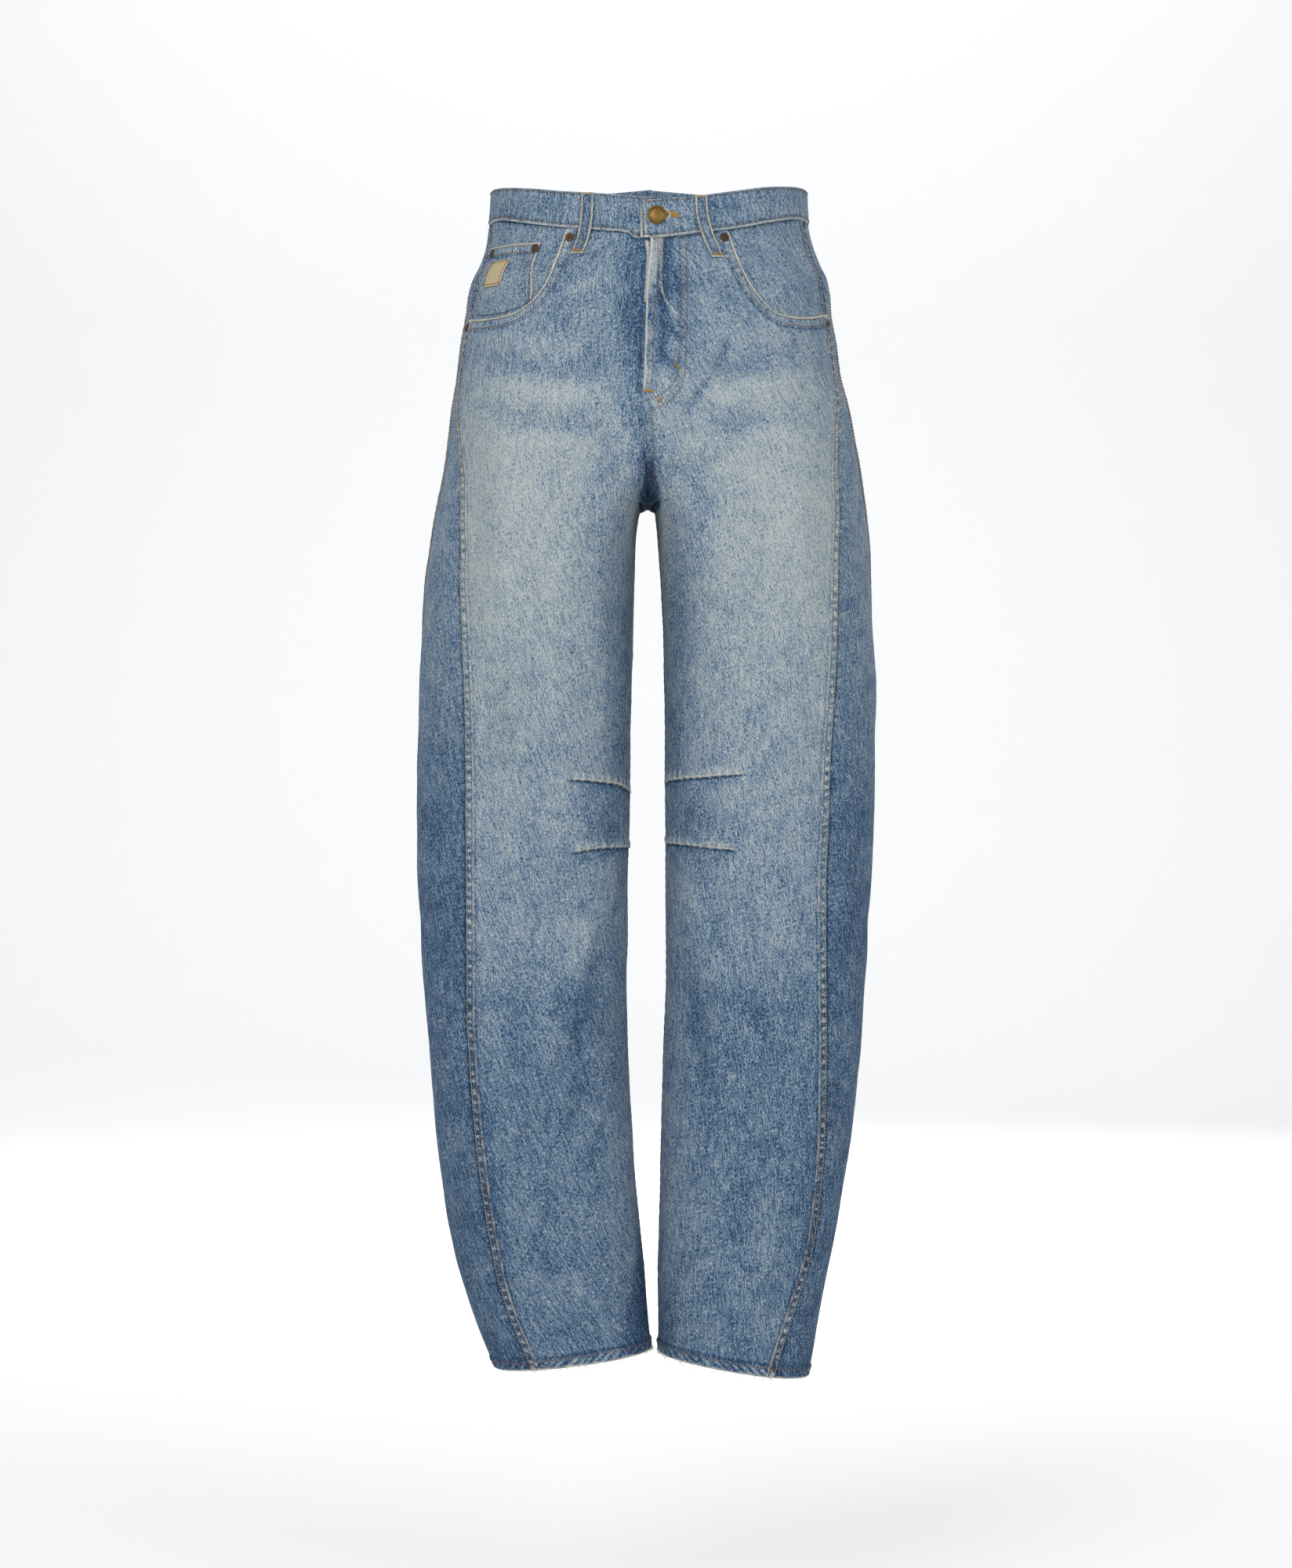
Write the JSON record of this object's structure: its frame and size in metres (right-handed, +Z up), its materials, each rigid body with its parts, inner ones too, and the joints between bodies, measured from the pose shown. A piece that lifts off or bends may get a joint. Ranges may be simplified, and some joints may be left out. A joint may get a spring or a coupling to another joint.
{
  "type": "distressed barrel-leg jeans",
  "caption": "Light blue barrel-leg denim jeans with scoop pockets, lapped button fly, side panels and knee darts, filled out and hollow.",
  "frame": {"origin": "middle of the waist, at half the height of the waistband's side", "axes": "+Z up along the body, -Y to the wearer's front, +X to the wearer's left"},
  "size_m": [0.4083, 0.2477, 1.0725],
  "materials": {
    "denim": "faded mid-blue denim twill, worn pale on the thighs and edges",
    "button": "antique brass, plain",
    "rivet": "dark bronzed",
    "tab": "plain beige"
  },
  "bodies": {
    "root": {"front_panel_right": "denim", "side_panel_right": "denim", "back_panel_right": "denim", "back_yoke_right": "denim", "back_pocket_right": "denim", "pocket_facing_right": "denim", "belt_loop_front_right": "denim", "belt_loop_back_right": "denim", "front_panel_left": "denim", "side_panel_left": "denim", "back_panel_left": "denim", "back_yoke_left": "denim", "back_pocket_left": "denim", "pocket_facing_left": "denim", "belt_loop_front_left": "denim", "belt_loop_back_left": "denim", "waistband": "denim", "coin_pocket": "denim", "plain_tab": "tab", "belt_loop_back_centre": "denim", "waist_button": "button", "rivet_scoop_right": "rivet", "rivet_scoop_left": "rivet", "rivet_coin_inner": "rivet", "rivet_coin_outer": "rivet", "rivet_side_right": "rivet", "rivet_side_left": "rivet"}
  },
  "joints": []
}
